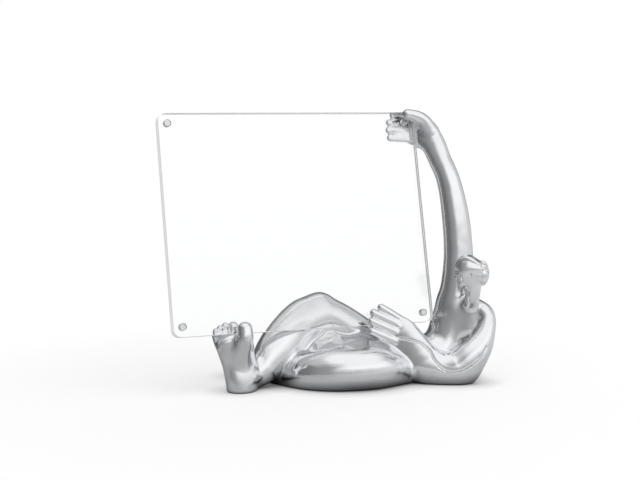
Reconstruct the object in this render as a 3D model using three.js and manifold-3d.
// Photo holder: a polished cast figure lies on its back and grips a clear two-sheet photo panel
// with the toes of one foot, with the near hand and with the raised far hand.
// Millimetres, +Z up. +X runs along the panel's width and the panel's front faces -Y.
// The origin lies on the table, below the middle of the panel's lower edge.
import * as THREE from 'three';
import { mergeVertices } from 'three/addons/utils/BufferGeometryUtils.js';
import Module from 'manifold-3d';

// Photo panel: two clear sheets held together by disc magnets.
const PANEL_WIDTH = 254;
const PANEL_HEIGHT = 203;
const SHEET_THICKNESS = 5;
const PRINT_GAP = 0.3;
const CORNER_RADIUS = 7;
const MAGNET_DIAMETER = 6;
const MAGNET_THICKNESS = 3;
const MAGNET_INSET = 9;
const MAGNET_CLEARANCE = 0.3;

// How the panel stands in the figure's grips.
const PANEL_LEAN = 14;
const PANEL_BASE = 52;
const GRIP_CLEARANCE = 0.3;
const TOE_GRIP_INSET = 61;
const HAND_GRIP_INSET = 49;

// Radii of the figure's limbs.
const PELVIS_RADIUS = 22;
const THIGH_RADIUS = 17;
const CALF_RADIUS = 15;
const ARM_RADIUS = 13;
const FOREARM_RADIUS = 17;
const FINGER_RADIUS = 4.1;
const THUMB_RADIUS = 5.6;
const BIG_TOE_RADIUS = 6.8;
const TOE_RADIUS = 3.4;
const HEAD_RADIUS = 14;

// The figure lies turned a little to the panel, its chest just past the panel's right edge.
const FIGURE_YAW = 21.5;
const CHEST_CLEARANCE = 1;

// Main places of the figure: heights above the table, distances in front of or behind the origin.
const CHEST_HEIGHT = 55;
const SHOULDER_HEIGHT = 67;
const HEAD_HEIGHT = 105;
const HEAD_FRONT = 34;
const ELBOW_FRONT = 45;
const THIGH_FRONT = 29;
const KNEE_BACK = 29;
const KNEE_RISE = 14.5;
const REST_FOOT_BACK = 71;
const REST_TOE_HEIGHT = 44;

// Small toes behind the panel: place along it from the toe gap, reach up the face, relative size.
const TOES = [
  { along: -2.7, length: 7.6, size: 1.3 },
  { along: -9.3, length: 8.4, size: 1.0 },
  { along: -15.2, length: 6.3, size: 0.95 },
  { along: -20.4, length: 4.1, size: 0.85 },
];
const REST_TOES = [8.5, 3.2, -1.2, -5.2, -8.8];

// Near fingers in front of the panel: root and tip as [along, up] from the near grip.
const NEAR_FINGERS = [
  { root: [16.5, -1.5], tip: [-6, 15.2], size: 1 },
  { root: [16, -6.5], tip: [-14, 10.5], size: 1.05 },
  { root: [13, -13], tip: [-16.8, 2.9], size: 1.05 },
  { root: [8.5, -19.8], tip: [-17.5, -6], size: 0.98 },
];

// Far fingers behind the panel: distance below its top edge, reach in from its right edge.
const FAR_FINGERS = [
  { down: 1.2, length: 15.5 },
  { down: 8.1, length: 19.8 },
  { down: 15, length: 21.2 },
  { down: 21.8, length: 20.5 },
];

// Facets of the lofts.
const BODY_SIDES = 16;
const BODY_STEP = 9;
const FOOT_SIDES = 14;
const FOOT_STEP = 7;
const FINGER_SIDES = 8;
const FINGER_STEP = 6;
const TOE_SIDES = 8;
const TOE_STEP = 5;
const EGG_SIDES = 14;
const CORNER_SEGMENTS = 8;
const MAGNET_SIDES = 24;

const wasm = await Module();
wasm.setup();

const lean = THREE.MathUtils.degToRad(PANEL_LEAN);
const packThickness = 2 * SHEET_THICKNESS + PRINT_GAP;
const halfSlot = packThickness / 2 + GRIP_CLEARANCE;

// A point given on the panel: x along its width, up along its face, back through its thickness.
function onPanel(x, up, back) {
  return new THREE.Vector3(
    x,
    up * Math.sin(lean) + back * Math.cos(lean),
    PANEL_BASE + up * Math.cos(lean) - back * Math.sin(lean),
  );
}

function toSolid(geometry) {
  const bare = geometry.clone();
  bare.deleteAttribute('normal');
  bare.deleteAttribute('uv');
  const merged = mergeVertices(bare);
  return new wasm.Manifold(new wasm.Mesh({
    numProp: 3,
    vertProperties: new Float32Array(merged.attributes.position.array),
    triVerts: new Uint32Array(merged.index.array),
  }));
}

function toGeometry(solid) {
  const mesh = solid.getMesh();
  const geometry = new THREE.BufferGeometry();
  geometry.setAttribute('position', new THREE.BufferAttribute(mesh.vertProperties, 3));
  geometry.setIndex(new THREE.BufferAttribute(mesh.triVerts, 1));
  geometry.computeVertexNormals();
  return geometry;
}

// One station of a limb: its centre and the two half-axes of its oval section.
function station(at, wide, deep = wide) {
  return { at, wide, deep };
}

function at(x, y, z) {
  return new THREE.Vector3(x, y, z);
}

const CAP_ANGLES = [Math.PI / 6, Math.PI / 3];

// Closed loft through oval stations with domed ends. `facing` is the direction of the deep axis.
function limb(stations, facing, sides, step) {
  const path = new THREE.CatmullRomCurve3(stations.map((s) => s.at), false, 'centripetal');
  const sizes = new THREE.CatmullRomCurve3(
    stations.map((s) => new THREE.Vector3(s.wide, s.deep, 0)), false, 'catmullrom');
  const rings = [];
  const addRing = (centre, tangent, wide, deep) => {
    const deepAxis = facing.clone().addScaledVector(tangent, -facing.dot(tangent)).normalize();
    const wideAxis = deepAxis.clone().cross(tangent);
    rings.push({ centre, wideAxis, deepAxis, wide, deep });
  };
  const addCap = (t, sign, angles) => {
    const centre = path.getPoint(t);
    const tangent = path.getTangent(t);
    const size = sizes.getPoint(t);
    const height = sign * Math.min(size.x, size.y);
    for (const angle of angles) {
      const shifted = centre.clone().addScaledVector(tangent, height * Math.sin(angle));
      addRing(shifted, tangent, size.x * Math.cos(angle), size.y * Math.cos(angle));
    }
    return centre.clone().addScaledVector(tangent, height);
  };
  const startPole = addCap(0, -1, CAP_ANGLES.toReversed());
  const spans = stations.length - 1;
  for (let span = 0; span < spans; span += 1) {
    const length = stations[span].at.distanceTo(stations[span + 1].at);
    const count = Math.max(1, Math.round(length / step));
    for (let i = 0; i < count; i += 1) {
      const t = (span + i / count) / spans;
      const size = sizes.getPoint(t);
      addRing(path.getPoint(t), path.getTangent(t), size.x, size.y);
    }
  }
  const endSize = sizes.getPoint(1);
  addRing(path.getPoint(1), path.getTangent(1), endSize.x, endSize.y);
  const endPole = addCap(1, 1, CAP_ANGLES);

  const positions = [...startPole.toArray()];
  for (const ring of rings) {
    for (let k = 0; k < sides; k += 1) {
      const angle = (2 * Math.PI * k) / sides;
      const point = ring.centre.clone()
        .addScaledVector(ring.wideAxis, ring.wide * Math.cos(angle))
        .addScaledVector(ring.deepAxis, ring.deep * Math.sin(angle));
      positions.push(...point.toArray());
    }
  }
  positions.push(...endPole.toArray());
  const last = rings.length * sides + 1;
  const indices = [];
  for (let k = 0; k < sides; k += 1) {
    const next = (k + 1) % sides;
    indices.push(0, 1 + next, 1 + k);
    for (let r = 0; r + 1 < rings.length; r += 1) {
      const low = 1 + r * sides;
      const high = low + sides;
      indices.push(low + k, low + next, high + next, low + k, high + next, high + k);
    }
    const rim = 1 + (rings.length - 1) * sides;
    indices.push(last, rim + k, rim + next);
  }
  const geometry = new THREE.BufferGeometry();
  geometry.setAttribute('position', new THREE.Float32BufferAttribute(positions, 3));
  geometry.setIndex(indices);
  return toSolid(geometry);
}

// Rounded egg shape about a centre, with its half-axes along x, y and z before it is turned.
function egg(centre, halfAxes, turn = 0) {
  const geometry = new THREE.SphereGeometry(1, EGG_SIDES, EGG_SIDES / 2);
  geometry.rotateX(Math.PI / 2);
  geometry.scale(...halfAxes);
  geometry.rotateZ(turn);
  geometry.translate(...centre.toArray());
  return toSolid(geometry);
}

function joinAll(solids) {
  return solids.reduce((whole, solid) => whole.add(solid));
}

// Places that tie the figure to the panel.
const rightEdge = PANEL_WIDTH / 2;
const toeX = TOE_GRIP_INSET - rightEdge;
const handX = rightEdge - HAND_GRIP_INSET;
const chestX = rightEdge + CHEST_CLEARANCE + PELVIS_RADIUS;
const yaw = THREE.MathUtils.degToRad(FIGURE_YAW);
const inward = at(Math.sin(yaw), Math.cos(yaw), 0);
const sideways = at(Math.cos(yaw), -Math.sin(yaw), 0);
const upward = at(0, 0, 1);
const backward = at(0, 1, 0);
const magnetX = rightEdge - MAGNET_INSET;
const MAGNET_CORNERS = [
  { name: 'top_left', x: -magnetX, z: PANEL_HEIGHT - MAGNET_INSET },
  { name: 'top_right', x: magnetX, z: PANEL_HEIGHT - MAGNET_INSET },
  { name: 'bottom_left', x: -magnetX, z: MAGNET_INSET },
  { name: 'bottom_right', x: magnetX, z: MAGNET_INSET },
];

function torso() {
  const r = PELVIS_RADIUS;
  return limb([
    station(at(22, 3, 0.82 * r), 0.95 * r, 0.75 * r),
    station(at(48, -3, 0.92 * r), 1.4 * r, r),
    station(at(78, 1, 0.95 * r), 1.15 * r, 0.95 * r),
    station(at(chestX - 42, -1, 0.95 * r), 1.05 * r, 0.92 * r),
    station(at(chestX - 22, -5, 1.1 * r), 1.05 * r, 0.85 * r),
    station(at(chestX - 4, -5, 1.75 * r), 0.85 * r, 0.75 * r),
  ], upward, BODY_SIDES, BODY_STEP);
}

// Leg with the raised knee. The calf lies against the thigh, so a web fills the fold between them,
// and the groin fills the corner below it.
function bentLeg() {
  const r = THIGH_RADIUS;
  const c = CALF_RADIUS;
  const knee = at(22, KNEE_BACK, PANEL_BASE + KNEE_RISE);
  const thigh = limb([
    station(at(80, KNEE_BACK - 16, 26), 1.1 * r, 1.15 * r),
    station(at(58, KNEE_BACK - 8, 41), r, 1.05 * r),
    station(at(40, KNEE_BACK - 2.5, PANEL_BASE + KNEE_RISE - 11), 0.95 * r, 0.98 * r),
    station(knee, 0.92 * r, 0.88 * r),
  ], inward, BODY_SIDES, BODY_STEP);
  const shin = limb([
    station(knee, 1.03 * c, c),
    station(at(7, KNEE_BACK - 2, PANEL_BASE + KNEE_RISE - 3.5), 1.03 * c, c),
    station(at(-10, KNEE_BACK - 7.5, PANEL_BASE - 2), c, 0.97 * c),
    station(at(-29, 13.5, 31.5), 0.9 * c, 0.87 * c),
    station(at(toeX + 22, 7, 14), 0.8 * c, 0.8 * c),
    station(at(toeX + 10, 3, 9), 0.75 * c, 0.75 * c),
  ], inward, BODY_SIDES, BODY_STEP);
  const calf = limb([
    station(at(14, KNEE_BACK - 5, PANEL_BASE + 3), 0.85 * c),
    station(at(-4, KNEE_BACK - 10, PANEL_BASE - 7), 0.97 * c),
    station(at(-21, 11.5, 28.5), 0.93 * c),
    station(at(-36, 7.5, 17), 0.72 * c),
  ], inward, BODY_SIDES, BODY_STEP);
  const web = limb([
    station(at(-4, KNEE_BACK - 7.5, PANEL_BASE - 1), 0.85 * c),
    station(at(14, KNEE_BACK - 5, PANEL_BASE + 3), 0.95 * c),
    station(at(32, KNEE_BACK - 3.5, PANEL_BASE + 3), 0.95 * c),
    station(at(52, KNEE_BACK - 6.5, PANEL_BASE - 8), 0.95 * c),
  ], inward, BODY_SIDES, BODY_STEP);
  const groin = limb([
    station(at(21, KNEE_BACK - 10, 36), 1.6 * c, 0.85 * c),
    station(at(17, 8, 20), 2 * c, c),
  ], inward, BODY_SIDES, BODY_STEP);
  return joinAll([thigh, shin, calf, web, groin]);
}

// Foot with its sole to the front: the big toe in front of the panel, the others behind it.
function grippingFoot() {
  const sole = limb([
    station(at(toeX + 0.5, -4, 2), 12.8, 12),
    station(at(toeX + 0.3, -3, 10), 13.4, 12),
    station(at(toeX - 2, -0.5, 26), 13.8, 10.5),
    station(at(toeX - 5, 0, PANEL_BASE - 12), 15.2, 8.8),
    station(at(toeX - 6, 0, PANEL_BASE - 6), 15.5, 7.6),
  ], backward, FOOT_SIDES, FOOT_STEP);
  const front = -(halfSlot + BIG_TOE_RADIUS);
  const bigToe = limb([
    station(at(toeX, -5.5, PANEL_BASE - 18), BIG_TOE_RADIUS),
    station(onPanel(toeX + 2, -6, front), 1.08 * BIG_TOE_RADIUS, BIG_TOE_RADIUS),
    station(onPanel(toeX + 2.5, 3, front), BIG_TOE_RADIUS, 0.95 * BIG_TOE_RADIUS),
  ], inward, TOE_SIDES, TOE_STEP);
  const toes = TOES.map(({ along, length, size }) => {
    const radius = size * TOE_RADIUS;
    const back = halfSlot + radius;
    const x = toeX + along;
    return limb([
      station(at(x + 2, -1, PANEL_BASE - 12), 1.2 * radius),
      station(onPanel(x + 1, -6, back - 2), 1.15 * radius),
      station(onPanel(x, length / 2, back + 0.5), radius),
      station(onPanel(x, length, back), 0.92 * radius),
    ], inward, TOE_SIDES, TOE_STEP);
  });
  return joinAll([sole, bigToe, ...toes]);
}

function straightLeg() {
  const r = THIGH_RADIUS;
  const lying = (x, y, wide, deep) => station(at(x, y, 0.8 * deep * r), wide * r, deep * r);
  return limb([
    lying(86, 6 - THIGH_FRONT, 0.8, 0.8),
    lying(70, 3 - THIGH_FRONT, 1.1, 1.05),
    lying(53, -THIGH_FRONT, 1.3, 1.2),
    lying(36, -THIGH_FRONT, 1.3, 1.2),
    lying(16, 6 - THIGH_FRONT, 1.2, 1.18),
    lying(0, 18 - THIGH_FRONT, 1.03, 1.03),
    lying(-12, 8, 0.86, 0.88),
    lying(-22, REST_FOOT_BACK - 44, 0.76, 0.8),
    lying(-31, REST_FOOT_BACK - 26, 0.63, 0.67),
    lying(-38, REST_FOOT_BACK - 11, 0.55, 0.58),
  ], upward, BODY_SIDES, BODY_STEP);
}

function restingFoot() {
  const ball = at(-47, REST_FOOT_BACK, REST_TOE_HEIGHT - 8);
  const sole = limb([
    station(at(-43, REST_FOOT_BACK - 5, 5), 10, 10),
    station(at(-45, REST_FOOT_BACK - 3, 17), 10, 9),
    station(at(-47, REST_FOOT_BACK, REST_TOE_HEIGHT - 14), 11.5, 7),
    station(ball, 11.5, 5.5),
  ], inward, FOOT_SIDES, FOOT_STEP);
  const toes = REST_TOES.map((along, i) => {
    const root = ball.clone().addScaledVector(sideways, along);
    const tip = at(root.x, root.y - 1, REST_TOE_HEIGHT - Math.abs(i - 1));
    return limb([station(root, 2.6, 3), station(tip, 2.4, 2.6)], inward, TOE_SIDES, TOE_STEP);
  });
  return joinAll([sole, ...toes]);
}

function nearArm() {
  const r = FOREARM_RADIUS;
  const shoulder = SHOULDER_HEIGHT;
  const arm = limb([
    station(at(chestX + 5, -10, shoulder - 3), 0.75 * r, 0.75 * r),
    station(at(chestX + 10.5, 23 - ELBOW_FRONT, shoulder), 0.52 * r, 0.6 * r),
    station(at(chestX + 16.3, 13 - ELBOW_FRONT, shoulder - 4.5), 0.5 * r, 0.52 * r),
    station(at(chestX + 16.7, 7.5 - ELBOW_FRONT, shoulder - 12.5), 0.48 * r, 0.52 * r),
    station(at(chestX + 12.7, 3.5 - ELBOW_FRONT, shoulder - 21), 0.53 * r, 0.58 * r),
    station(at(chestX + 6.2, 0.5 - ELBOW_FRONT, 36), 0.7 * r, 0.68 * r),
    station(at(chestX - 3.7, -ELBOW_FRONT, 24.5), 0.9 * r, 0.82 * r),
    station(at(chestX - 14.6, 4 - ELBOW_FRONT, 13), 1.1 * r, 0.95 * r),
    station(at(chestX - 29.8, 10.5 - ELBOW_FRONT, 11.5), 1.08 * r, 0.9 * r),
    station(at(handX + 27, 16 - ELBOW_FRONT, 18), 1.15 * r, 0.78 * r),
    station(at(handX + 18, -21.5, 31.5), 1.04 * r, 0.5 * r),
    station(at(handX + 9.5, -13.5, 43), 1.03 * r, 0.33 * r),
    station(onPanel(handX + 6, -7, -halfSlot - FINGER_RADIUS), 0.95 * r, 0.26 * r),
  ], inward, BODY_SIDES, BODY_STEP);
  const front = -(halfSlot + FINGER_RADIUS);
  const fingers = NEAR_FINGERS.map(({ root, tip, size }) => {
    const radius = size * FINGER_RADIUS;
    const along = (share, rise) => onPanel(
      handX + root[0] + share * (tip[0] - root[0]),
      root[1] + share * (tip[1] - root[1]),
      front - rise);
    return limb([
      station(along(-0.15, 6.5), 0.95 * radius),
      station(along(0.5, 2.2), radius),
      station(along(0.8, 0.8), 0.95 * radius),
      station(along(1, 0), 0.9 * radius),
    ], inward, FINGER_SIDES, FINGER_STEP);
  });
  const back = halfSlot + THUMB_RADIUS;
  const thumb = limb([
    station(at(handX + 20, -17, 32), 1.2 * THUMB_RADIUS),
    station(onPanel(handX + 17, -12, 2), 1.2 * THUMB_RADIUS),
    station(onPanel(handX + 12, -2, back), 1.05 * THUMB_RADIUS),
    station(onPanel(handX + 7, 7, back), 0.9 * THUMB_RADIUS),
  ], sideways, FINGER_SIDES, FINGER_STEP);
  return joinAll([arm, ...fingers, thumb]);
}

// Chest and raised arm in one sweep, from behind the near forearm up to the panel's corner.
function raisedArm() {
  const r = ARM_RADIUS;
  const chest = at(chestX + 1, -4.8, CHEST_HEIGHT);
  const top = PANEL_HEIGHT;
  const wrist = onPanel(rightEdge + 15, top - 31, -9);
  const bow = at(0.76, -0.65, 0);
  const reach = (fraction, bend) => chest.clone().lerp(wrist, fraction).addScaledVector(bow, bend);
  const arm = limb([
    station(at(chestX - 9, -5, 13), 1.25 * r, 1.15 * r),
    station(at(chestX - 5, -8, 27), 1.55 * r, 1.35 * r),
    station(at(chestX - 2, -7, CHEST_HEIGHT - 13.5), 1.86 * r, 1.55 * r),
    station(chest, 1.82 * r, 1.6 * r),
    station(reach(0.078, 1.8), 1.56 * r, 1.42 * r),
    station(reach(0.157, 5), 1.33 * r, 1.28 * r),
    station(reach(0.26, 8), 1.15 * r, 1.14 * r),
    station(reach(0.393, 11.3), 1.06 * r, 1.04 * r),
    station(reach(0.57, 13), r, 0.97 * r),
    station(reach(0.786, 11), 0.86 * r, 0.84 * r),
    station(reach(0.9, 5.5), 0.84 * r, 0.76 * r),
    station(wrist, 0.93 * r, 0.62 * r),
    station(onPanel(rightEdge + 9, top - 20, -3), 1.05 * r, 0.54 * r),
    station(onPanel(rightEdge + 2, top - 14, 6), 1.0 * r, 0.44 * r),
  ], inward, BODY_SIDES, BODY_STEP);
  const ribs = limb([
    station(at(chestX - 7, -6, CHEST_HEIGHT - 11), 1.3 * r, 1.1 * r),
    station(at(chestX + 2, -11, CHEST_HEIGHT - 7), 1.45 * r, 1.15 * r),
    station(at(chestX + 11, -16, CHEST_HEIGHT - 2), 1.2 * r, 1.05 * r),
  ], inward, BODY_SIDES, BODY_STEP);
  const back = halfSlot + FINGER_RADIUS;
  const fingers = FAR_FINGERS.map(({ down, length }) => limb([
    station(onPanel(rightEdge + 6, top - 4 - 0.75 * down, 3), FINGER_RADIUS),
    station(onPanel(rightEdge - 1, top - down, back - 0.6), 1.06 * FINGER_RADIUS),
    station(onPanel(rightEdge - length / 2, top - down, back + 0.4), FINGER_RADIUS),
    station(onPanel(rightEdge - length, top - down, back), 0.85 * FINGER_RADIUS),
  ], inward, FINGER_SIDES, FINGER_STEP));
  const front = -(halfSlot + THUMB_RADIUS);
  const thumb = limb([
    station(onPanel(rightEdge + 13.5, top - 20, -9), 1.5 * THUMB_RADIUS),
    station(onPanel(rightEdge + 6, top - 9.5, front - 0.3), 1.2 * THUMB_RADIUS),
    station(onPanel(rightEdge - 3, top - 5, front - 0.4), THUMB_RADIUS),
    station(onPanel(rightEdge - 9, top - 3.6, front), 0.9 * THUMB_RADIUS),
  ], inward, FINGER_SIDES, FINGER_STEP);
  return joinAll([arm, ribs, ...fingers, thumb]);
}

function head() {
  const h = HEAD_RADIUS;
  const centre = at(chestX - 0.5, -HEAD_FRONT, HEAD_HEIGHT);
  const away = (forward, up) => centre.clone()
    .addScaledVector(sideways, -forward * h).addScaledVector(upward, up * h);
  const skull = egg(away(0, 0.2), [0.84 * h, 0.76 * h, 0.8 * h], -yaw);
  const face = egg(away(0.14, -0.38), [0.68 * h, 0.62 * h, 0.84 * h], -yaw);
  const chin = egg(away(0.5, -1.02), [0.24 * h, 0.3 * h, 0.2 * h], -yaw);
  const nose = limb([
    station(away(0.72, 0.05), 0.1 * h, 0.11 * h),
    station(away(0.88, -0.4), 0.12 * h, 0.16 * h),
  ], inward, TOE_SIDES, TOE_STEP);
  const neck = limb([
    station(at(chestX + 6, -17, SHOULDER_HEIGHT - 5), 0.62 * h, 0.62 * h),
    station(at(chestX + 3.5, 2 - HEAD_FRONT, SHOULDER_HEIGHT + 12), 0.52 * h, 0.55 * h),
    station(away(-0.15, -0.7), 0.52 * h, 0.54 * h),
  ], inward, FOOT_SIDES, FOOT_STEP);
  const hair = egg(away(-0.2, 0.14), [0.8 * h, 0.83 * h, 0.9 * h], -yaw);
  const bun = egg(away(-0.92, -0.15), [0.42 * h, 0.5 * h, 0.6 * h], -yaw);
  return joinAll([skull, face, chin, nose, neck, hair, bun]);
}

function figure() {
  const body = joinAll([
    torso(), bentLeg(), grippingFoot(), straightLeg(), restingFoot(), nearArm(), raisedArm(), head(),
  ]);
  const slotHeight = 1.5 * PANEL_HEIGHT;
  const slot = new THREE.BoxGeometry(PANEL_WIDTH + 2 * GRIP_CLEARANCE, 2 * halfSlot, slotHeight);
  slot.translate(0, 0, slotHeight / 2 - GRIP_CLEARANCE);
  slot.rotateX(-lean);
  slot.translate(0, 0, PANEL_BASE);
  const below = new THREE.BoxGeometry(2 * PANEL_WIDTH, 2 * PANEL_WIDTH, PANEL_HEIGHT);
  below.translate(0, 0, -PANEL_HEIGHT / 2);
  return toGeometry(body.subtract(toSolid(slot)).subtract(toSolid(below)));
}

// Clear sheet in the panel's own frame: x along the width, y through the thickness, z up the face.
function sheet(side) {
  const half = PANEL_WIDTH / 2;
  const r = CORNER_RADIUS;
  const outline = new THREE.Shape();
  outline.absarc(half - r, r, r, -Math.PI / 2, 0);
  outline.absarc(half - r, PANEL_HEIGHT - r, r, 0, Math.PI / 2);
  outline.absarc(r - half, PANEL_HEIGHT - r, r, Math.PI / 2, Math.PI);
  outline.absarc(r - half, r, r, Math.PI, 1.5 * Math.PI);
  const slab = new THREE.ExtrudeGeometry(outline, {
    depth: SHEET_THICKNESS, bevelEnabled: false, curveSegments: CORNER_SEGMENTS,
  });
  slab.translate(0, 0, -SHEET_THICKNESS / 2);
  slab.rotateX(Math.PI / 2);
  slab.translate(0, side * (PRINT_GAP + SHEET_THICKNESS) / 2, 0);
  const pocketDepth = MAGNET_THICKNESS + MAGNET_CLEARANCE;
  const pockets = MAGNET_CORNERS.map(({ x, z }) => {
    const pocket = new THREE.CylinderGeometry(
      MAGNET_DIAMETER / 2 + MAGNET_CLEARANCE, MAGNET_DIAMETER / 2 + MAGNET_CLEARANCE,
      2 * pocketDepth, MAGNET_SIDES);
    pocket.translate(x, side * PRINT_GAP / 2, z);
    return toSolid(pocket);
  });
  return toGeometry(pockets.reduce((rest, pocket) => rest.subtract(pocket), toSolid(slab)));
}

function magnet({ x, z }, side) {
  const disc = new THREE.CylinderGeometry(
    MAGNET_DIAMETER / 2, MAGNET_DIAMETER / 2, MAGNET_THICKNESS, MAGNET_SIDES);
  disc.translate(x, side * (PRINT_GAP + MAGNET_THICKNESS) / 2, z);
  return disc;
}

const silver = { color: 0xc9cbd0, roughness: 0.12, metalness: 1 };
const acrylic = { color: 0xf4f8fa, roughness: 0.03, metalness: 0 };
const nickel = { color: 0xb4b7bb, roughness: 0.25, metalness: 1 };

function piece(name, geometry, look) {
  const mesh = new THREE.Mesh(geometry, new THREE.MeshStandardMaterial(look));
  mesh.name = name;
  return mesh;
}

const panel = new THREE.Group();
panel.position.set(0, 0, PANEL_BASE);
panel.rotation.x = -lean;
for (const [name, side] of [['back', 1], ['front', -1]]) {
  panel.add(piece(`${name}_sheet`, sheet(side), acrylic));
  for (const corner of MAGNET_CORNERS) {
    panel.add(piece(`${name}_magnet_${corner.name}`, magnet(corner, side), nickel));
  }
}

const group = new THREE.Group();
group.add(piece('figure', figure(), silver));
group.add(panel);

export default group;
